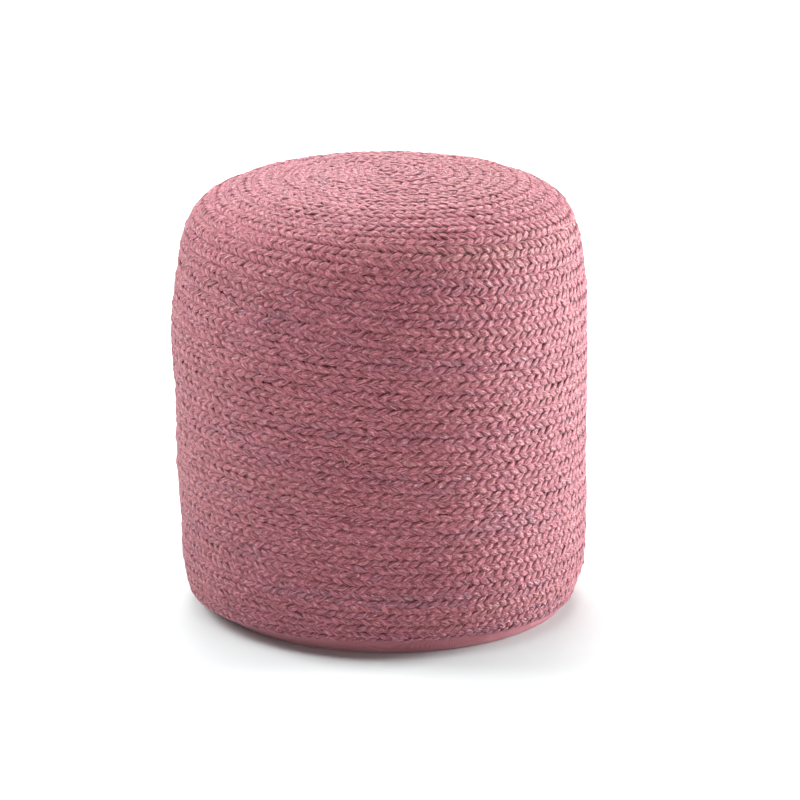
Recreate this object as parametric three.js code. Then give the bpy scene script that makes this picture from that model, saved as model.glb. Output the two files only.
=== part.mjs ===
// A round pouf. One long jute braid is wound in a spiral from the middle of the top, over the
// shoulder and down the side to the hem, and filled firm. A cotton panel closes the underside
// and turns up to the hem. Millimetres, +Z up, standing on z = 0, front towards -Y.
import * as THREE from 'three';
import { mergeVertices } from 'three/addons/utils/BufferGeometryUtils.js';

// The form from the top's middle down, seen from the front: the height of each section, and
// how far it reaches to the left and to the right over the crests of the braid.
const SECTIONS = [
  { height: 429.5, left: -5, right: 5 },
  { height: 425.5, left: 77, right: 88 },
  { height: 415.5, left: 138, right: 149 },
  { height: 396.5, left: 174.5, right: 181 },
  { height: 370.5, left: 189.5, right: 192.5 },
  { height: 336, left: 195.5, right: 198 },
  { height: 280, left: 202, right: 201 },
  { height: 215.5, left: 199.5, right: 201.5 },
  { height: 151, left: 198.5, right: 201.5 },
  { height: 86, left: 195.5, right: 202 },
  { height: 39, left: 193, right: 199.5 },
  { height: 13, left: 186, right: 191 },
  { height: 0, left: 175, right: 187 },
];

// The braid: the width of a row, the depth of the sewn seam between two rows, and how far the
// last row is drawn in where it is sewn to the panel.
const ROW_WIDTH = 13.8;
const SEAM_DEPTH = 2.2;
const HEM_TUCK = 2.5;

// The rows sit lower on the right than on the left: half of that drop, by the distance along
// the surface from the middle of the top.
const ROW_DROP = [
  { along: 0, drop: 0 },
  { along: 90, drop: 6 },
  { along: 230, drop: 16 },
  { along: 420, drop: 12 },
  { along: 570, drop: 5 },
];

// The hem: its mean height, how much lower it sags on the right, and how much higher it sits
// in front.
const HEM_HEIGHT = 10;
const HEM_SAG_RIGHT = 4.5;
const HEM_RISE_FRONT = 4;

// The panel: the cloth with its turned-up edge, its circle on the floor, which lies to the
// right of the pouf's middle, and its circle at the hem.
const PANEL_THICKNESS = 2;
const PANEL_WALL = 3;
const FLOOR_CIRCLE = { radius: 176.5, shift: 14 };
const HEM_CIRCLE = { radius: 183, shift: 5 };
const FLOOR_CORNER = 3.5;
const LOW_WALL = 0.3;

// The space between the filled cover and the panel: upright, and across the wall.
const GAP_UP = 0.4;
const GAP_ACROSS = 0.9;

// How finely the surfaces are divided.
const COLUMNS = 56;
const PROFILE_STEPS = 2400;
const SAME_POINT = 1e-4;

const { lerp, clamp, smoothstep } = THREE.MathUtils;
const JUTE = new THREE.MeshStandardMaterial({ color: '#b4737c', roughness: 0.95, metalness: 0 });
const COTTON = new THREE.MeshStandardMaterial({ color: '#8f525b', roughness: 0.9, metalness: 0 });

// The half outline of the form, as points of (half width, shift to the right, height), evenly
// spaced from the middle of the top to the floor. It starts one section beyond the middle, so
// that the top is level there.
function formProfile() {
  const points = SECTIONS.map(({ height, left, right }) => (
    new THREE.Vector3((left + right) / 2, (right - left) / 2, height)));
  const beyond = points[1].clone();
  beyond.x *= -1;
  const curve = new THREE.CatmullRomCurve3([beyond, ...points]);
  curve.arcLengthDivisions = PROFILE_STEPS;
  const half = curve.getSpacedPoints(PROFILE_STEPS).filter((point) => point.x > 0);
  return { points: [points[0], ...half], step: curve.getLength() / PROFILE_STEPS };
}

const PROFILE = formProfile();

// A point of the form at a distance along the surface from the middle of the top, in the
// direction of a turn around it, and a given depth under the surface.
function formPoint(along, turn, depth) {
  const index = clamp(along / PROFILE.step, 0, PROFILE.points.length - 2);
  const above = PROFILE.points[Math.floor(index)];
  const below = PROFILE.points[Math.floor(index) + 1];
  const middle = above.clone().lerp(below, index % 1);
  const slope = Math.hypot(below.x - above.x, below.z - above.z);
  const radius = middle.x - (depth * (above.z - below.z)) / slope;
  const height = middle.z - (depth * (below.x - above.x)) / slope;
  return ringPoint(Math.max(radius, 0), middle.y, height, turn);
}

function ringPoint(radius, shift, height, turn) {
  return new THREE.Vector3(shift + radius * Math.cos(turn), radius * Math.sin(turn), height);
}

function hemHeight(turn) {
  return HEM_HEIGHT - HEM_SAG_RIGHT * Math.cos(turn) - HEM_RISE_FRONT * Math.sin(turn);
}

function hemAlong(turn) {
  const height = hemHeight(turn);
  return PROFILE.points.findIndex((point) => point.z <= height) * PROFILE.step;
}

function rowDrop(along) {
  const next = ROW_DROP.findIndex((row, index) => index > 0 && along <= row.along);
  if (next < 0) return ROW_DROP.at(-1).drop;
  const [from, to] = [ROW_DROP[next - 1], ROW_DROP[next]];
  return lerp(from.drop, to.drop, smoothstep(along, from.along, to.along));
}

// A point of the panel's wall or of the filling inside it: how far it is from the floor circle,
// 0, to the hem circle, 1, how deep inside the wall's outer face, and its height.
function wallPoint(rise, depth, height, turn) {
  const radius = lerp(FLOOR_CIRCLE.radius, HEM_CIRCLE.radius, rise) - depth;
  return ringPoint(radius, lerp(FLOOR_CIRCLE.shift, HEM_CIRCLE.shift, rise), height, turn);
}

// A closed surface over columns of points that all run the same way, from one end of the
// form's axis to the other. The last column lies on the first.
function skin(columns) {
  const positions = [];
  const addTriangle = (...corners) => {
    const apart = corners.every((corner, index) => (
      corner.distanceTo(corners[(index + 1) % 3]) > SAME_POINT));
    if (apart) corners.forEach((corner) => positions.push(...corner.toArray()));
  };
  for (let column = 0; column + 1 < columns.length; column += 1) {
    const [near, far] = [columns[column], columns[column + 1]];
    for (let line = 0; line + 1 < near.length; line += 1) {
      addTriangle(near[line], near[line + 1], far[line + 1]);
      addTriangle(near[line], far[line + 1], far[line]);
    }
  }
  const geometry = new THREE.BufferGeometry();
  geometry.setAttribute('position', new THREE.Float32BufferAttribute(positions, 3));
  const merged = mergeVertices(geometry, SAME_POINT);
  merged.computeVertexNormals();
  return merged;
}

function makeColumns(column) {
  const turns = Array.from({ length: COLUMNS + 1 }, (_, index) => (2 * Math.PI * index) / COLUMNS);
  return turns.map(column);
}

// The cover's lines follow the spiral, two to a row: a seam, then the crest of the braid. Lines
// that would pass the middle of the top or the hem stop there.
function coverColumn(turn) {
  const hem = hemAlong(turn);
  const turned = turn / (2 * Math.PI);
  const lineCount = Math.ceil((2 * PROFILE.points.length * PROFILE.step) / ROW_WIDTH);
  const points = [];
  for (let line = -3; line <= lineCount; line += 1) {
    const spiral = (line / 2 + turned) * ROW_WIDTH;
    const along = Math.max(spiral + rowDrop(spiral) * Math.cos(turn), 0);
    const depth = line % 2 === 0 ? SEAM_DEPTH : 0;
    if (spiral <= 0) points.push(formPoint(0, turn, 0));
    else if (along >= hem) points.push(formPoint(hem, turn, HEM_TUCK));
    else points.push(formPoint(along, turn, depth));
  }
  return points;
}

// Under the hem the filling steps in behind the panel's wall and lies on the panel's floor.
function undersideColumn(turn) {
  const inside = PANEL_WALL + GAP_ACROSS;
  const mouth = hemHeight(turn);
  const floor = PANEL_THICKNESS + GAP_UP;
  return [
    wallPoint(1, inside, mouth, turn),
    wallPoint(LOW_WALL, inside, lerp(floor, mouth, LOW_WALL), turn),
    wallPoint(0, inside + FLOOR_CORNER, floor, turn),
    new THREE.Vector3(FLOOR_CIRCLE.shift, 0, floor),
  ];
}

function braidedCover() {
  const columns = makeColumns((turn) => [...coverColumn(turn), ...undersideColumn(turn)]);
  const mesh = new THREE.Mesh(skin(columns), JUTE);
  mesh.name = 'braided_cover';
  return mesh;
}

// The panel's cloth, from the middle of its upper face, out and up the wall's inner face, over
// the rim, and back down and under to the middle of the floor.
function panelColumn(turn) {
  const rim = hemHeight(turn) - GAP_UP;
  return [
    new THREE.Vector3(FLOOR_CIRCLE.shift, 0, PANEL_THICKNESS),
    wallPoint(0, PANEL_WALL + FLOOR_CORNER, PANEL_THICKNESS, turn),
    wallPoint(LOW_WALL, PANEL_WALL, lerp(PANEL_THICKNESS, rim, LOW_WALL), turn),
    wallPoint(1, PANEL_WALL, rim, turn),
    wallPoint(1, 0, rim, turn),
    wallPoint(LOW_WALL, 0, rim * LOW_WALL, turn),
    wallPoint(0, FLOOR_CORNER, 0, turn),
    new THREE.Vector3(FLOOR_CIRCLE.shift, 0, 0),
  ];
}

function basePanel() {
  const mesh = new THREE.Mesh(skin(makeColumns(panelColumn)), COTTON);
  mesh.name = 'base_panel';
  return mesh;
}

const pouf = new THREE.Group();
pouf.add(braidedCover(), basePanel());

export default pouf;
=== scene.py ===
# A round pouf of rose-dyed jute braid, in the order that a maker puts it together: the stuffed
# form, the braid that is sewn over it in a spiral, its loose fibres, and the cotton panel that
# closes the underside. The floor, the light and the camera come last. All sizes are in metres.
import math
import bpy
import numpy as np
from mathutils import Color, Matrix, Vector


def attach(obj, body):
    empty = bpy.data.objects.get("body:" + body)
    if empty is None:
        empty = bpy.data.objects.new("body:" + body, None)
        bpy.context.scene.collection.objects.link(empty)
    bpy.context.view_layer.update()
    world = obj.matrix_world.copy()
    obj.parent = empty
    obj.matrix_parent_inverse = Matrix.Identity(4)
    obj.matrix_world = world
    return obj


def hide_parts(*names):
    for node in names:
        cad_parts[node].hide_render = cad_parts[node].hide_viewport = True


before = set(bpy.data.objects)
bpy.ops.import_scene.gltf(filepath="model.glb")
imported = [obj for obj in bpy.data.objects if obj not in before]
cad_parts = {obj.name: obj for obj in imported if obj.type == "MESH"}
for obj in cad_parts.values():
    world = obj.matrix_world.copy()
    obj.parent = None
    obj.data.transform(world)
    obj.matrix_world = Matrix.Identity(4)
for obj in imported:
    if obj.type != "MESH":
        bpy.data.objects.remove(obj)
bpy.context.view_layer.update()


# The stuffed form. The finished braid cover is packed tight with stuffing, and what shows of
# it is only its deep rose in the gaps between the stitches, which is painted shade of the gaps.
# It is round, lies a little inside the braid, and ends in the cup of the base panel.

# The form from the top's middle down to the floor: height, and reach to the left and to the
# right, over the crests of the braid.
SECTIONS = (
    (0.4295, -0.005, 0.005),
    (0.4255, 0.077, 0.088),
    (0.4155, 0.138, 0.149),
    (0.3965, 0.1745, 0.181),
    (0.3705, 0.1895, 0.1925),
    (0.336, 0.1955, 0.198),
    (0.280, 0.202, 0.201),
    (0.2155, 0.1995, 0.2015),
    (0.151, 0.1985, 0.2015),
    (0.086, 0.1955, 0.202),
    (0.039, 0.193, 0.1995),
    (0.013, 0.186, 0.191),
    (0.0, 0.175, 0.187),
)
PROFILE_STEPS = 1600

# The hem: its height at the back, how far it sags on the right, how far it rises in front and
# how narrow that rise is, and the radius in which the cover curls under there.
HEM_HEIGHT = 0.0045
HEM_SAG_RIGHT = 0.002
HEM_RISE_FRONT = 0.0085
HEM_RISE_NARROWNESS = 3
HEM_CURL = 0.008

# The stuffing: how deep it lies under the crests, how far it runs on past the hem, how finely
# its surface is divided, and how its loose grain looks.
STUFFING_DEPTH = 0.0030
STUFFING_TUCK = 0.016
STUFFING_COLUMNS = 120
STUFFING_RINGS = 90
PIN_HOLE = 0.0006
# Painted shade: the stuffing's two dark rose colours stand in for the shade in the gaps.
STUFFING_PAINTED_SHADES = ((112, 44, 55), (144, 60, 71))
STUFFING_GRAIN = {"Scale": 600.0, "Detail": 3.0}
STUFFING_BUMPS = {"Strength": 0.5, "Distance": 0.0005}
STUFFING_SURFACE = {"Roughness": 1.0, "Specular IOR Level": 0.1}

# A mixing node has like-named sockets for numbers and for colours: these are the colours'.
SHARE_SOCKET, FIRST_COLOUR, SECOND_COLOUR, MIXED_COLOUR = 0, 6, 7, 2


def smooth_through(at, knots, values):
    """A smooth curve through the values at the knots, read at the places at."""
    slopes = np.gradient(values, knots, axis=0)
    knot = np.clip(np.searchsorted(knots, at) - 1, 0, len(knots) - 2)
    span = (knots[knot + 1] - knots[knot])[:, None]
    part = (at - knots[knot])[:, None] / span
    start = (1 + 2 * part) * (1 - part) ** 2 * values[knot]
    start += part * (1 - part) ** 2 * span * slopes[knot]
    end = part**2 * (3 - 2 * part) * values[knot + 1]
    end += part**2 * (part - 1) * span * slopes[knot + 1]
    return start + end


def distance_along(points):
    """The distance from the first point to each point of a line."""
    return np.append(0, np.cumsum(np.linalg.norm(np.diff(points, axis=0), axis=1)))


levels, lefts, rights = np.array(SECTIONS).T
form_knots = np.stack([(rights + lefts) / 2, (rights - lefts) / 2, levels], axis=1)
form_knots = np.vstack([form_knots[1] * (-1, 1, 1), form_knots])
knot_places = distance_along(form_knots)
profile = smooth_through(
    np.linspace(knot_places[1], knot_places[-1], PROFILE_STEPS), knot_places, form_knots)
profile_along = distance_along(profile)
profile_radius, profile_shift, profile_height = profile.T
profile_slope = np.gradient(profile, profile_along, axis=0)
profile_slope /= np.hypot(profile_slope[:, 0], profile_slope[:, 2])[:, None]
profile_out, profile_up = -profile_slope[:, 2], profile_slope[:, 0]


def hem_height(turn):
    """The height of the braid's lower edge: it sags on the right and rises in front."""
    front = ((1 - np.sin(turn)) / 2) ** HEM_RISE_NARROWNESS
    return HEM_HEIGHT - HEM_SAG_RIGHT * np.cos(turn) + HEM_RISE_FRONT * front


def hem_along(turn):
    """The distance from the top's middle to where the cover curls under at the hem."""
    return np.interp(-hem_height(turn) - HEM_CURL, -profile_height, profile_along)


def on_form(along, turn, lift):
    """Points a lift above the crests' surface, and the way out of it, at a distance along it
    from the top's middle. Past the hem the surface curls under and runs inwards."""
    hem = hem_along(turn)
    past = np.maximum(along - hem, 0)
    curl = np.minimum(past / HEM_CURL, math.pi / 2)
    inwards = past - HEM_CURL * curl
    reach = np.minimum(along, hem)
    side = np.where(reach < 0, -1.0, 1.0)
    reach = np.abs(reach)
    out = side * np.interp(reach, profile_along, profile_out)
    up = np.interp(reach, profile_along, profile_up)
    radius = side * np.interp(reach, profile_along, profile_radius)
    height = np.interp(reach, profile_along, profile_height)
    shift = np.interp(reach, profile_along, profile_shift)
    way_out = out * np.cos(curl) + up * np.sin(curl)
    way_up = up * np.cos(curl) - out * np.sin(curl)
    radius += (HEM_CURL + lift) * way_out - (HEM_CURL + inwards) * out
    height += (HEM_CURL + lift) * way_up - (HEM_CURL + inwards) * up
    points = np.stack([shift + radius * np.cos(turn), radius * np.sin(turn), height], axis=-1)
    ways = np.stack([way_out * np.cos(turn), way_out * np.sin(turn), way_up], axis=-1)
    return points, ways


def ringed_mesh(name, tubes, closed_start=True):
    """One piece made of closed tubes. A tube is rings of points, all the same way round."""
    corners = []
    faces = []
    first = 0
    for tube in tubes:
        rings, sides = tube.shape[:2]
        place = first + np.arange(rings * sides).reshape(rings, sides)
        after = np.roll(place, -1, axis=1)
        quads = np.stack([place[:-1], place[1:], after[1:], after[:-1]], axis=-1)
        faces += quads.reshape(-1, 4).tolist()
        faces.append(place[-1][::-1].tolist())
        if closed_start:
            faces.append(place[0].tolist())
        corners.append(tube.reshape(-1, 3))
        first += rings * sides
    mesh = bpy.data.meshes.new(name)
    mesh.from_pydata(np.concatenate(corners), [], faces)
    mesh.shade_smooth()
    piece = bpy.data.objects.new(name, mesh)
    bpy.context.scene.collection.objects.link(piece)
    return piece


def dyed(red, green, blue):
    """A colour as a dyer's card shows it, from 0 to 255, turned into light."""
    on_card = Color((red / 255, green / 255, blue / 255))
    return (*on_card.from_srgb_to_scene_linear(), 1.0)


def new_finish(name, surface):
    """A finish with the values of its surface, and its shader."""
    finish = bpy.data.materials.new(name)
    finish.use_nodes = True
    shader = finish.node_tree.nodes["Principled BSDF"]
    for socket, value in surface.items():
        shader.inputs[socket].default_value = value
    return finish, shader


def add_node(finish, kind, inputs, **settings):
    """Adds a node, with a value or another node's output for each of the inputs."""
    made = finish.node_tree.nodes.new("ShaderNode" + kind)
    for setting, value in settings.items():
        setattr(made, setting, value)
    for name, value in inputs.items():
        if isinstance(value, bpy.types.NodeSocket):
            finish.node_tree.links.new(value, made.inputs[name])
        else:
            made.inputs[name].default_value = value
    return made


def mixed(finish, share, first, second, way="MIX"):
    """One colour mixed with another, by a share of the second."""
    mixer = add_node(
        finish, "Mix", {SHARE_SOCKET: share, FIRST_COLOUR: first, SECOND_COLOUR: second},
        data_type="RGBA", blend_type=way)
    return mixer.outputs[MIXED_COLOUR]


def cover_with(finish, shader, colour, height, bumps):
    """Gives a finish its colour, and bumps from a height."""
    relief = add_node(finish, "Bump", {"Height": height, **bumps})
    finish.node_tree.links.new(colour, shader.inputs["Base Color"])
    finish.node_tree.links.new(relief.outputs["Normal"], shader.inputs["Normal"])


stuffing_columns = np.linspace(0, 2 * math.pi, STUFFING_COLUMNS, endpoint=False)
stuffing_share = np.linspace(0, 1, STUFFING_RINGS)[:, None]
stuffing_end = hem_along(stuffing_columns) + STUFFING_TUCK
stuffing_rings = on_form(
    PIN_HOLE + stuffing_share * (stuffing_end - PIN_HOLE), stuffing_columns, -STUFFING_DEPTH)[0]
stuffed_form = ringed_mesh("stuffed_form", [stuffing_rings])
# Painted shade: the form is coloured dark rose to show as the shade between the stitches.
shade_finish, shader = new_finish("painted_shade_between_stitches", STUFFING_SURFACE)
stuffing_place = add_node(shade_finish, "TexCoord", {}).outputs["Object"]
stuffing_grain = add_node(
    shade_finish, "TexNoise", {"Vector": stuffing_place, **STUFFING_GRAIN}).outputs["Fac"]
darker, lighter = (dyed(*shade) for shade in STUFFING_PAINTED_SHADES)
cover_with(
    shade_finish, shader, mixed(shade_finish, stuffing_grain, darker, lighter),
    stuffing_grain, STUFFING_BUMPS)
stuffed_form.data.materials.append(shade_finish)
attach(stuffed_form, "root")
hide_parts("braided_cover")


# The braid. Three flat strands of dyed jute are plaited into one long braid about 14 mm wide,
# which is coiled from the middle of the top, sewn edge to edge to the row before, and tucked
# under at the hem. It is laid in five lengths, each a piece, one running on from the other.

# How wide the rows are and how long their stitches, by the distance from the top's middle. Some
# stretches were pulled longer and thinner, and others packed closer. The spiral is worked out
# from them in small steps.
ROWS = (
    (0.0, 0.0138, 0.0104), (0.13, 0.0140, 0.0100), (0.18, 0.0158, 0.0092),
    (0.225, 0.0156, 0.0093), (0.26, 0.0146, 0.0098), (0.30, 0.0140, 0.0108),
    (0.40, 0.0138, 0.0106), (0.456, 0.0128, 0.0112), (0.485, 0.0134, 0.0098),
    (0.51, 0.0136, 0.0092), (0.64, 0.0134, 0.0093))
LAID_STEPS = 3000

# How much lower a row lies on the right than in front, and how much higher on the left, by the
# distance from the top's middle.
ROW_DROP = ((0.0, 0.0), (0.09, 0.006), (0.23, 0.016), (0.42, 0.012), (0.57, 0.004))

# At turn 0 the middle of the row is already half a row from the top's middle. The braid starts
# a little before that, and each turn of it is worked out in steps.
HALF_ROW = 0.5
FIRST_TURN = -0.4
TURN_STEPS = 240

# The turn that each length ends on.
LENGTHS = {
    "braid_crown": 12.6,
    "braid_shoulder": 20.0,
    "braid_upper_side": 27.5,
    "braid_middle_side": 35.1,
    "braid_lower_side": 42.6,
}

# The strands, and the section of one: places round it, in degrees from its side, and how round
# it is, from 0, square, to 1.
STRANDS = 3
STRAND_WIDTH = 0.0060
STRAND_THICKNESS = 0.0032
SECTION_ANGLES = (78, 102, 132, 166, 218, 322, 14, 48)
SECTION_ROUNDNESS = 0.75

# One stitch, from the row's edge in to its middle, at six places along it: how far it lies from
# the row's middle, how high it rises over the others, and how wide it shows. Between two
# stitches the strand dives under the others to the other edge.
STITCH_PLACES = (0.0, 0.14, 0.31, 0.48, 0.65, 0.82)
STITCH_ACROSS = (0.9, 0.8, 0.65, 0.48, 0.31, 0.14)
STITCH_RISE = (-0.3, 0.5, 1.0, 1.0, 0.5, -0.5)
STITCH_WIDTH = (0.85, 1.0, 1.1, 1.1, 1.0, 0.85)

# A strand makes one stitch in each half turn of the plait. It rises over the others by the
# weave, and is pressed thinner where it passes under them.
STITCH_TURN = math.pi
WEAVE = 0.0009
PRESSED = 0.1
BRAID_DEPTH = WEAVE + STRAND_THICKNESS / 2

# How the braid strays from an even one: every how many metres of it a new value is drawn, and
# how far off it is.
SIDEWAYS_STRAY = (0.07, 0.00035)
UPWARD_STRAY = (0.045, 0.0003)
DYE_STRAY = (0.22, 0.45)
STITCH_STRAY = (0.11, 0.035)
STRAND_DYE_STRAY = (0.028, 0.35)
LONG_DYE_STRAY = (0.16, 0.4)

# How far a stitch is off from an even one: drawn in or out, slipped, woven higher, lifted,
# rolled, swollen, ridged and dyed.
STITCH_PULL = 0.08
STITCH_SLIP = 0.0004
STITCH_WEAVE = 0.15
STITCH_LIFT = 0.0003
STITCH_ROLL = 0.08
STITCH_SWELL = 0.10
STITCH_RIDGES = 0.08
STITCH_DYE = 0.15
SEED = 41
chance = np.random.default_rng(SEED)


def eased(part):
    """A part from 0 to 1 that leaves and arrives slowly."""
    return part * part * (3 - 2 * part)


def wander(places, spacing, size):
    """A value that wanders smoothly, with a new one drawn at every spacing."""
    at = (places - places.min()) / spacing
    drawn = chance.standard_normal(int(at.max()) + 3)
    before = at.astype(int)
    part = eased(at - before)
    return size * (drawn[before] * (1 - part) + drawn[before + 1] * part)


def unit(vectors):
    """The same directions, one metre long."""
    return vectors / np.linalg.norm(vectors, axis=-1, keepdims=True)


last_turn = LENGTHS["braid_lower_side"]
turns = np.linspace(FIRST_TURN, last_turn, int((last_turn - FIRST_TURN) * TURN_STEPS))
braid_turn = 2 * math.pi * turns
row_places, row_widths, row_stitches = np.array(ROWS).T
laid = np.linspace(0, row_places[-1], LAID_STEPS)
laid_turns = np.append(0, np.cumsum(np.diff(laid) / np.interp(laid[1:], row_places, row_widths)))
spiral = np.interp(turns + HALF_ROW, laid_turns, laid)
braid_width = np.interp(spiral, row_places, row_widths)
drop_places, drops = np.array(ROW_DROP).T
braid_along = spiral + np.interp(spiral, drop_places, drops) * np.cos(braid_turn)
braid_line = on_form(braid_along, braid_turn, -BRAID_DEPTH)[0]
braid_run = distance_along(braid_line)
braid_along += wander(braid_run, *SIDEWAYS_STRAY)
braid_lift = wander(braid_run, *UPWARD_STRAY)
braid_dye = wander(braid_run, *DYE_STRAY)
braid_stitch = np.interp(spiral, row_places, row_stitches)
braid_stitch *= 1 + wander(braid_run, *STITCH_STRAY)
braid_phase = np.append(0, np.cumsum(np.diff(braid_run) / braid_stitch[1:]))
braid_phase *= 2 * STITCH_TURN / STRANDS


def lay_strand(strand):
    """One strand of the whole braid: its line, the ways along, across and out of it, how far
    it lies over the others, and the turn that each step is on."""
    lag = 2 * STITCH_TURN * strand / STRANDS
    stitches = np.arange(
        math.ceil((braid_phase[0] + lag) / STITCH_TURN), (braid_phase[-1] + lag) // STITCH_TURN)
    phase = STITCH_TURN * (stitches[:, None] + STITCH_PLACES).ravel()
    run = np.interp(phase - lag, braid_phase, braid_run)
    turn = np.interp(run, braid_run, braid_turn)
    edge = np.repeat(np.where(stitches % 2 == 0, 1.0, -1.0), len(STITCH_PLACES))
    over = np.tile(STITCH_RISE, len(stitches))
    pull = wander(phase, STITCH_TURN, STITCH_PULL)
    across = edge * np.tile(STITCH_ACROSS, len(stitches)) * (1 + pull)
    across *= np.interp(run, braid_run, braid_width) / 2
    across += wander(phase, STITCH_TURN, STITCH_SLIP)
    weave = WEAVE * over * (1 + wander(phase, STITCH_TURN, STITCH_WEAVE))
    weave += wander(phase, STITCH_TURN, STITCH_LIFT)
    along = np.interp(run, braid_run, braid_along) + across
    lift = np.interp(run, braid_run, braid_lift) + weave - BRAID_DEPTH
    line, out = on_form(along, turn, lift)
    ahead = unit(np.gradient(line, axis=0))
    side = unit(np.cross(ahead, out))
    out = np.cross(side, ahead)
    roll = wander(phase, STITCH_TURN, STITCH_ROLL)[:, None]
    out, side = out * np.cos(roll) + side * np.sin(roll), side * np.cos(roll) - out * np.sin(roll)
    swell = 1 + wander(phase, STITCH_TURN, STITCH_SWELL)
    angle = np.radians(SECTION_ANGLES)
    ridges = np.stack(
        [swell + wander(phase, STITCH_TURN / 2, STITCH_RIDGES) for _ in angle], axis=1)
    section_across = np.sign(np.cos(angle)) * np.abs(np.cos(angle)) ** SECTION_ROUNDNESS
    section_up = np.sign(np.sin(angle)) * np.abs(np.sin(angle)) ** SECTION_ROUNDNESS
    taper = np.tile(STITCH_WIDTH, len(stitches))
    fullness = 1 - PRESSED + PRESSED * over
    widths = STRAND_WIDTH / 2 * ridges * taper[:, None] * section_across
    heights = STRAND_THICKNESS / 2 * ridges * fullness[:, None] * section_up
    rings = line[:, None] + side[:, None] * widths[..., None] + out[:, None] * heights[..., None]
    place = np.zeros(rings.shape)
    place[..., 0] = run[:, None]
    place[..., 1] = STRAND_WIDTH / 2 * angle
    place[..., 2] = strand
    depth = BRAID_DEPTH - weave[:, None] - heights
    dye = np.interp(run, braid_run, braid_dye) + wander(run, *STRAND_DYE_STRAY)
    dye += wander(run, *LONG_DYE_STRAY) + wander(phase, STITCH_TURN, STITCH_DYE)
    return {
        "turn": turn / (2 * math.pi), "rings": rings, "place": place, "line": line,
        "ahead": ahead, "side": side, "out": out, "over": over, "top": heights[:, 0],
        "dye": np.repeat(dye, len(angle)).reshape(len(dye), -1), "depth": depth,
    }


# The part of a strip's width that stays free at each of its edges in the piece's map.
STRIP_MARGIN = 0.04


def lay_out_strips(piece, tubes):
    """A map of the piece with its strands cut into strips and laid side by side."""
    strip_width = 1 - 2 * STRIP_MARGIN
    sides = tubes[0].shape[1]
    steps = sum(len(tube) - 1 for tube in tubes)
    strips = max(1, round(math.sqrt(steps / sides)))
    strip_steps = math.ceil(steps / strips)
    corners = []
    step = 0
    for tube in tubes:
        here = np.arange(step, step + len(tube) - 1)[:, None]
        side = np.arange(sides)[None]
        left = (here % strip_steps) / strip_steps + 0 * side
        low = (here // strip_steps + STRIP_MARGIN + strip_width * side / sides) / strips
        right = left + 1 / strip_steps
        high = low + strip_width / sides / strips
        quads = np.stack([left, low, right, low, right, high, left, high], axis=-1)
        corners += [quads.reshape(-1, 2), np.zeros((2 * sides, 2))]
        step += len(tube) - 1
    layer = piece.data.uv_layers.new(name="OFBake")
    layer.uv.foreach_set("vector", np.concatenate(corners).ravel())


def keep_values(piece, name, values):
    """Keeps a number, or a place, for each point of the piece, for its finish to read."""
    kind, field = ("FLOAT", "value") if values.ndim == 1 else ("FLOAT_VECTOR", "vector")
    made = piece.data.attributes.new(name, kind, "POINT")
    made.data.foreach_set(field, values.astype(np.float32).ravel())


# Bands of colour, each with its place from 0 to 1: the dye, from mauve to sandy pink, the
# darker fibre streaks, which are also painted shade in the grooves between fibres where the
# bumps are lowest, and the pale fibres, which lie where their bands are white.
DYE_REACH = 2.0
DYE_BANDS = (
    (0.08, (164, 98, 116)), (0.40, (182, 97, 114)), (0.62, (184, 100, 113)),
    (0.95, (180, 114, 112)))
STREAK_AND_PAINTED_SHADE_BANDS = ((0.36, (132, 60, 70)), (0.48, (215, 186, 192)), (0.60, (255, 255, 255)))
STREAK_AND_PAINTED_SHADE_SHARE = 0.9
PALE_BANDS = ((0.50, (0, 0, 0)), (0.70, (255, 255, 255)))
PALE_SHARE = 0.72
PALE_FIBRE = (228, 174, 180)

# Painted shade in the gaps: how deep under the braid's crests it starts and is full, and
# its colour.
GAP_START = 0.0014
GAP_FULL = 0.0030
GAP_PAINTED_SHADE = (146, 66, 78)

# The fibres, by their count in a metre along the strand and across it, and from one strand to
# the next, and how ragged they are.
COARSE_FIBRES = {"scale": (170, 640, 3), "detail": 3.0, "shift": (0, 0, 0)}
FINE_FIBRES = {"scale": (300, 850, 5), "detail": 1.0, "shift": (3, 1, 7)}
FIBRE_ROUGHNESS = 0.6
JUTE_BUMPS = {"Strength": 1.0, "Distance": 0.0022}
JUTE_SURFACE = {
    "Roughness": 0.55, "Specular IOR Level": 0.65, "Sheen Weight": 0.25,
    "Sheen Roughness": 0.3, "Sheen Tint": dyed(255, 200, 208)}


def worked_out(finish, way, first, second):
    """A number worked out from two others."""
    return add_node(finish, "Math", {0: first, 1: second}, operation=way).outputs["Value"]


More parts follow.
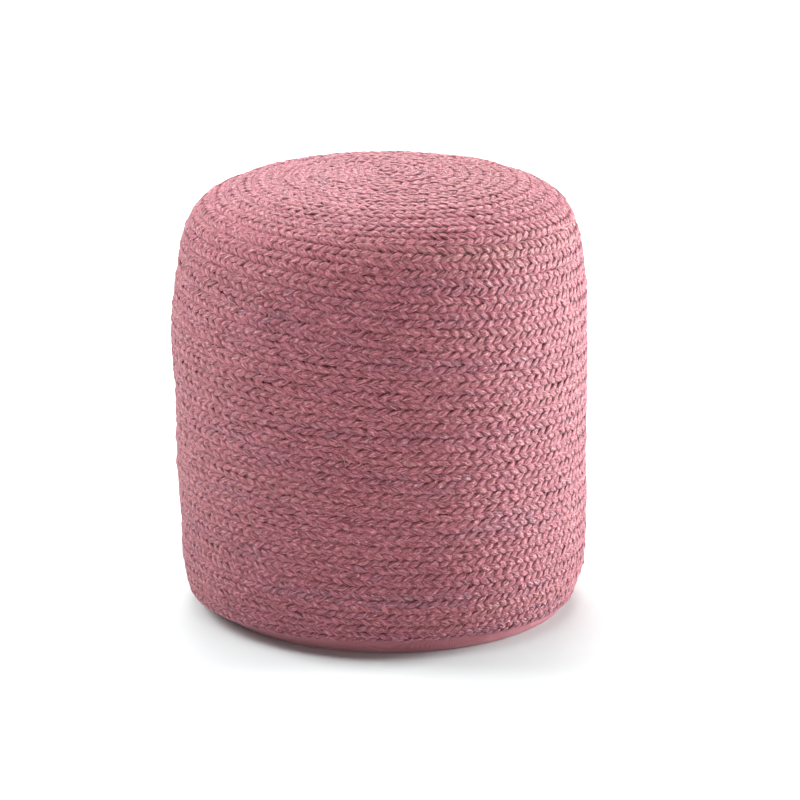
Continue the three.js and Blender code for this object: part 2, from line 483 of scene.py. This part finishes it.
def jute_finish():
    """Matt dyed jute: streaks of fibre along the strand, patches where the dye took unevenly,
    and pale fibres that took little of it, with painted shade darkening the gaps under the
    crests."""
    finish, shader = new_finish("dyed_jute", JUTE_SURFACE)
    place = add_node(finish, "Attribute", {}, attribute_name="strand_place").outputs["Vector"]
    dye = add_node(finish, "Attribute", {}, attribute_name="dye").outputs["Fac"]
    depth = add_node(finish, "Attribute", {}, attribute_name="depth").outputs["Fac"]

    def fibres(scale, detail, shift):
        """Streaks that run along the strand."""
        stretched = add_node(
            finish, "Mapping", {"Vector": place, "Scale": scale, "Location": shift})
        return add_node(
            finish, "TexNoise",
            {"Vector": stretched.outputs["Vector"], "Scale": 1.0, "Detail": detail,
             "Roughness": FIBRE_ROUGHNESS}).outputs["Fac"]

    def banded(value, bands):
        """The colour of the band that a value falls in, fading into the next band's."""
        made = add_node(finish, "ValToRGB", {"Fac": value})
        stops = made.color_ramp.elements
        for start, _ in bands[1:-1]:
            stops.new(start)
        for stop, (start, colour) in zip(stops, bands):
            stop.position = start
            stop.color = dyed(*colour)
        return made.outputs["Color"]

    def between(value, least, most):
        """How far a value is on the way from the least to the most."""
        return add_node(
            finish, "MapRange",
            {"Value": value, "From Min": least, "From Max": most}).outputs["Result"]

    coarse = fibres(**COARSE_FIBRES)
    fine = fibres(**FINE_FIBRES)
    colour = banded(between(dye, -DYE_REACH, DYE_REACH), DYE_BANDS)
    pale = worked_out(finish, "MULTIPLY", banded(fine, PALE_BANDS), PALE_SHARE)
    colour = mixed(finish, pale, colour, dyed(*PALE_FIBRE))
    # Darker fibre streaks, partly painted shade: the colour darkens where the coarse bumps are
    # low.
    colour = mixed(finish, STREAK_AND_PAINTED_SHADE_SHARE, colour, banded(coarse, STREAK_AND_PAINTED_SHADE_BANDS), "MULTIPLY")
    # Painted shade: the colour darkens with depth under the crests, into the gaps between
    # stitches.
    painted_gap_shade = between(depth, GAP_START, GAP_FULL)
    colour = mixed(finish, painted_gap_shade, colour, dyed(*GAP_PAINTED_SHADE), "MULTIPLY")
    cover_with(finish, shader, colour, worked_out(finish, "ADD", coarse, fine), JUTE_BUMPS)
    return finish


jute = jute_finish()
strands = [lay_strand(strand) for strand in range(STRANDS)]
start_turn = FIRST_TURN
for length_name, end_turn in LENGTHS.items():
    parts = []
    for strand in strands:
        first, last = np.searchsorted(strand["turn"], (start_turn, end_turn))
        parts.append({key: values[first:last + 1] for key, values in strand.items()})
    braid = ringed_mesh(length_name, [part["rings"] for part in parts])
    keep_values(braid, "strand_place", np.concatenate([p["place"].reshape(-1, 3) for p in parts]))
    for key in ("dye", "depth"):
        keep_values(braid, key, np.concatenate([part[key].ravel() for part in parts]))
    lay_out_strips(braid, [part["rings"] for part in parts])
    braid.data.materials.append(jute)
    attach(braid, "root")
    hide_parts("braided_cover")
    start_turn = end_turn


# Loose fibres. Jute sheds: short fibre ends stand out of the braid all over it, and a few
# long pale ones, which took no dye, lie across the stitches.
FIBRE_COUNT = 1800
STRAY_COUNT = 70
LOOSE_FIBRES = {
    "lengths": (0.002, 0.008), "thickness": 0.00011, "rise": 0.45, "colour": (214, 156, 162)}
STRAY_FIBRES = {
    "lengths": (0.008, 0.018), "thickness": 0.00022, "rise": 0.12, "colour": (236, 214, 206)}

# They leave the braid above the hem, where a strand lies over the others, from just under its
# face. They lean to a side, bend, and grow thinner.
LOWEST_FIBRE = 0.03
LEAST_OVER = 0.3
ROOT_SHARE = 0.9
FIBRE_LEAN = 0.5
FIBRE_BEND = 0.35
FIBRE_TAPER = 0.7
FIBRE_RINGS = 5
FIBRE_SIDES = 3
CROSS_DIRECTION = (0.31, 0.52, 0.79)

# Their finish: how dark their darker stretches are, how long those are, and how rough it is.
DARK_SHARE = 0.8
FIBRE_PATCHES = {"Scale": 300.0}
FIBRE_BUMPS = {"Strength": 0.3, "Distance": 0.0001}
FIBRE_SURFACE = {"Roughness": 0.75}


def fibre_tubes(starts, headings, bends, lengths, thickness):
    """Thin tapering tubes from each start, each bent as it goes."""
    share = np.linspace(0, 1, FIBRE_RINGS)[:, None]
    tubes = []
    for start, heading, bend, length in zip(starts, headings, bends, lengths):
        line = start + length * share * (heading + bend * share)
        ahead = unit(np.gradient(line, axis=0))
        side = unit(np.cross(ahead, CROSS_DIRECTION))
        out = np.cross(side, ahead)
        angle = 2 * math.pi * np.arange(FIBRE_SIDES) / FIBRE_SIDES
        radius = thickness * (1 - FIBRE_TAPER * share)
        rings = line[:, None] + side[:, None] * (radius * np.cos(angle))[..., None]
        tubes.append(rings + out[:, None] * (radius * np.sin(angle))[..., None])
    return tubes


on_top = {
    key: np.concatenate([
        strand[key][(strand["over"] > LEAST_OVER) & (strand["line"][:, 2] > LOWEST_FIBRE)]
        for strand in strands])
    for key in ("line", "ahead", "side", "out", "top")}
picked = chance.choice(len(on_top["line"]), FIBRE_COUNT, replace=False)
tops = {key: values[picked] for key, values in on_top.items()}
fibre_starts = tops["line"] + tops["out"] * (tops["top"] * ROOT_SHARE)[:, None]


def sprout(name, chosen, lengths, thickness, rise, colour):
    """One piece of fibres that leave the braid at the chosen places and rise from it."""
    count = chosen.stop - chosen.start
    headings = unit(
        tops["ahead"][chosen] * chance.choice((-1.0, 1.0), (count, 1))
        + tops["side"][chosen] * chance.normal(0, FIBRE_LEAN, (count, 1))
        + tops["out"][chosen] * chance.uniform(0.0, rise, (count, 1)))
    bends = chance.normal(0, FIBRE_BEND, (count, 3))
    tubes = fibre_tubes(
        fibre_starts[chosen], headings, bends, chance.uniform(*lengths, count), thickness)
    fibres = ringed_mesh(name, tubes)
    finish, shader = new_finish(name + "_jute", FIBRE_SURFACE)
    place = add_node(finish, "TexCoord", {}).outputs["Object"]
    patches = add_node(finish, "TexNoise", {"Vector": place, **FIBRE_PATCHES}).outputs["Fac"]
    dark = dyed(*(DARK_SHARE * np.array(colour)))
    cover_with(
        finish, shader, mixed(finish, patches, dark, dyed(*colour)), patches, FIBRE_BUMPS)
    fibres.data.materials.append(finish)
    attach(fibres, "root")


sprout("loose_fibres", slice(STRAY_COUNT, FIBRE_COUNT), **LOOSE_FIBRES)
sprout("stray_fibres", slice(0, STRAY_COUNT), **STRAY_FIBRES)


# The base panel. A disc of plain woven cotton, dyed a deeper rose, closes the underside. It
# turns up at the floor, leans out to the hem, and is sewn behind the last row of braid.
PANEL_THICKNESS = 0.0012

# Its circle on the floor and its circle at the hem, which lie a little to the right of the
# pouf's middle, and the corner between its underside and its wall.
FLOOR_RADIUS = 0.1735
FLOOR_SHIFT = 0.009
HEM_RADIUS = 0.180
HEM_SHIFT = 0.003
FLOOR_CORNER = 0.0035
UNDERSIDE_HEIGHT = 0.0002

# Its rings: from the edge inside the cover down the wall, past the hem, 1, to the floor, 0, and
# from the rim of the underside, 1, in towards its middle, 0.
WALL_RISES = (1.35, 1.15, 1.0, 0.86, 0.72, 0.58, 0.44, 0.3, 0.15)
UNDERSIDE_SHARES = (1.0, 0.96, 0.9, 0.8, 0.66, 0.5, 0.34, 0.18, 0.06)
CORNER_STEPS = 5
PANEL_COLUMNS = 360

# The puckers that the sewing draws in its wall: short and long ones, and how deep they are.
PUCKER_LENGTHS = (0.008, 0.05)
PUCKER = 0.0005

# Its cloth: even threads both ways, a dye that took unevenly, and painted shade between the
# threads, with a little painted light on their crowns.
THREADS = {"Scale": 340.0, "Distortion": 0.6, "Detail": 2.0, "Detail Scale": 0.3}
THREAD_WAYS = ("X", "Y")
THREAD_PAINTED_SHADE = {"To Min": 0.72, "To Max": 1.06}
COTTON_PATCHES = {"Scale": 38.0, "Detail": 5.0}
COTTON_SHADES = ((162, 97, 107), (192, 121, 131))
COTTON_BUMPS = {"Strength": 0.5, "Distance": 0.0004}
COTTON_SURFACE = {"Roughness": 0.85, "Specular IOR Level": 0.2, "Sheen Weight": 0.15}

panel_turns = np.linspace(0, 2 * math.pi, PANEL_COLUMNS, endpoint=False)
panel_rim = hem_height(panel_turns)


def round_trip(spacing, size):
    """A value that wanders round the panel's edge and ends where it began."""
    drawn = chance.standard_normal(round(2 * math.pi * HEM_RADIUS / spacing))
    at = panel_turns / (2 * math.pi) * len(drawn)
    part = eased(at % 1)
    before = at.astype(int)
    return size * (drawn[before] * (1 - part) + drawn[(before + 1) % len(drawn)] * part)


def panel_ring(rise, depth, height):
    """A ring of the panel's outer face, from its circle on the floor, 0, to the hem, 1."""
    radius = FLOOR_RADIUS + (HEM_RADIUS - FLOOR_RADIUS) * rise - depth
    shift = FLOOR_SHIFT + (HEM_SHIFT - FLOOR_SHIFT) * rise
    height = height + 0 * panel_turns
    return np.stack(
        [shift + radius * np.cos(panel_turns), radius * np.sin(panel_turns), height], axis=-1)


puckers = sum(round_trip(length, PUCKER) for length in PUCKER_LENGTHS)
panel_rings = []
for rise in WALL_RISES:
    low = FLOOR_CORNER * (1 - min(rise, 1.0))
    panel_rings.append(panel_ring(rise, puckers * min(rise, 1.0), low + (panel_rim - low) * rise))
for angle in np.linspace(0, math.pi / 2, CORNER_STEPS):
    depth = FLOOR_CORNER * (1 - math.cos(angle))
    height = FLOOR_CORNER * (1 - math.sin(angle)) + UNDERSIDE_HEIGHT
    panel_rings.append(panel_ring(0.0, depth, height))
floor_middle = np.array([FLOOR_SHIFT, 0.0, UNDERSIDE_HEIGHT])
floor_ring = panel_rings.pop()
panel_rings += [
    floor_middle + (floor_ring - floor_middle) * share for share in UNDERSIDE_SHARES]
panel_rings = np.array(panel_rings)
base_cloth = ringed_mesh("base_cloth", [panel_rings], closed_start=False)
cloth_lengths = distance_along(panel_rings[::-1, 0])[::-1]
cloth_reach = (cloth_lengths + FLOOR_RADIUS * UNDERSIDE_SHARES[-1])[:, None]
cloth_place = np.stack(
    [cloth_reach * np.cos(panel_turns), cloth_reach * np.sin(panel_turns),
     0 * cloth_reach + 0 * panel_turns], axis=-1)
keep_values(base_cloth, "cloth_place", cloth_place)
thickness = base_cloth.modifiers.new("cloth_thickness", "SOLIDIFY")
thickness.thickness = PANEL_THICKNESS
thickness.offset = -1.0


def cotton_finish():
    """Matt plain-woven cotton: threads over and under, each a little unlike the next."""
    finish, shader = new_finish("dyed_cotton_cloth", COTTON_SURFACE)
    place = add_node(finish, "Attribute", {}, attribute_name="cloth_place").outputs["Vector"]
    warp, weft = (
        add_node(finish, "TexWave", {"Vector": place, **THREADS},
                 wave_type="BANDS", bands_direction=way).outputs["Fac"]
        for way in THREAD_WAYS)
    weave = worked_out(finish, "ADD", warp, weft)
    patches = add_node(finish, "TexNoise", {"Vector": place, **COTTON_PATCHES}).outputs["Fac"]
    darker, lighter = (dyed(*shade) for shade in COTTON_SHADES)
    colour = mixed(finish, patches, darker, lighter)
    # Painted shade and light of the weave: darker between the threads, a little lighter on their
    # crowns.
    shade = add_node(
        finish, "MapRange", {"Value": weave, "From Max": len(THREAD_WAYS), **THREAD_PAINTED_SHADE})
    colour = mixed(finish, 1.0, colour, shade.outputs["Result"], "MULTIPLY")
    cover_with(finish, shader, colour, weave, COTTON_BUMPS)
    return finish


base_cloth.data.materials.append(cotton_finish())
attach(base_cloth, "root")
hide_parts("base_panel")


# The studio. The pouf stands on a wide pale floor that runs out into white. The strongest soft
# light is low on its right, with others high on the left, above, behind and low in front.
WHITE = (1.0, 1.0, 1.0, 1.0)
FLOOR_WIDTH = 60.0
FLOOR_DROP = 0.0003
FLOOR_SURFACE = {
    "Base Color": dyed(218, 224, 224), "Roughness": 0.9, "Specular IOR Level": 0.1,
    "Emission Color": WHITE}

# Painted light: the floor glows, more and more from one distance from the pouf's middle out to
# another, so that past the pouf's shadow it runs out into white and hides where it ends.
PAINTED_GLOW_FROM = 0.2
PAINTED_GLOW_FULL = 2.2
PAINTED_FLOOR_GLOW = 0.9

# The soft lights, and the points that they are turned to. The last one is turned to the floor
# far behind the pouf.
POUF_MIDDLE = (0.0, 0.0, 0.2)
FAR_FLOOR = (0.0, 4.0, 0.0)
LIGHTS = {
    "right_softbox": {"place": (2.3, 0.6, 0.4), "size": 1.4, "watts": 166, "aim": POUF_MIDDLE},
    "left_softbox": {"place": (-1.7, 0.5, 1.6), "size": 1.2, "watts": 58, "aim": POUF_MIDDLE},
    "top_softbox": {"place": (0.0, 0.0, 1.65), "size": 1.4, "watts": 24, "aim": POUF_MIDDLE},
    "back_softbox": {"place": (0.0, 1.8, 1.6), "size": 1.4, "watts": 26, "aim": POUF_MIDDLE},
    "front_softbox": {"place": (0.3, -3.0, 0.3), "size": 1.4, "watts": 37, "aim": POUF_MIDDLE},
    "far_floor_softbox": {"place": (0.0, 4.0, 2.0), "size": 3.0, "watts": 105, "aim": FAR_FLOOR},
}
AMBIENT = 0.045

# The camera looks down a little, through a long lens.
CAMERA_PLACE = (0.0195, -3.6546, 1.2410)
CAMERA_TILT = 74.1
CAMERA_LENS = 175.5
CAMERA_SENSOR = 36.0

bpy.ops.mesh.primitive_plane_add(size=FLOOR_WIDTH, location=(0, 0, -FLOOR_DROP))
floor = bpy.context.object
floor.name = "floor"
floor_finish, shader = new_finish("white_floor", FLOOR_SURFACE)
floor_place = add_node(floor_finish, "TexCoord", {}).outputs["Object"]
from_pouf = add_node(
    floor_finish, "VectorMath", {0: floor_place}, operation="LENGTH").outputs["Value"]
# Painted light: the floor's glow rises with the distance from the pouf's middle.
painted_glow = add_node(
    floor_finish, "MapRange",
    {"Value": from_pouf, "From Min": PAINTED_GLOW_FROM, "From Max": PAINTED_GLOW_FULL, "To Max": PAINTED_FLOOR_GLOW})
floor_finish.node_tree.links.new(painted_glow.outputs["Result"], shader.inputs["Emission Strength"])
floor.data.materials.append(floor_finish)

for light_name, light in LIGHTS.items():
    lamp = bpy.data.lights.new(light_name, "AREA")
    lamp.size = light["size"]
    lamp.energy = light["watts"]
    softbox = bpy.data.objects.new(light_name, lamp)
    softbox.location = light["place"]
    aim = Vector(light["aim"]) - softbox.location
    softbox.rotation_euler = aim.to_track_quat("-Z", "Y").to_euler()
    softbox.visible_camera = False
    bpy.context.scene.collection.objects.link(softbox)

world = bpy.data.worlds.new("white_studio")
world.use_nodes = True
background = world.node_tree.nodes["Background"]
background.inputs["Color"].default_value = WHITE
background.inputs["Strength"].default_value = AMBIENT
bpy.context.scene.world = world
bpy.context.scene.view_settings.view_transform = "Standard"

camera_data = bpy.data.cameras.new("camera")
camera_data.lens = CAMERA_LENS
camera_data.sensor_width = CAMERA_SENSOR
camera = bpy.data.objects.new("camera", camera_data)
camera.location = CAMERA_PLACE
camera.rotation_euler = (math.radians(CAMERA_TILT), 0.0, 0.0)
bpy.context.scene.collection.objects.link(camera)
bpy.context.scene.camera = camera
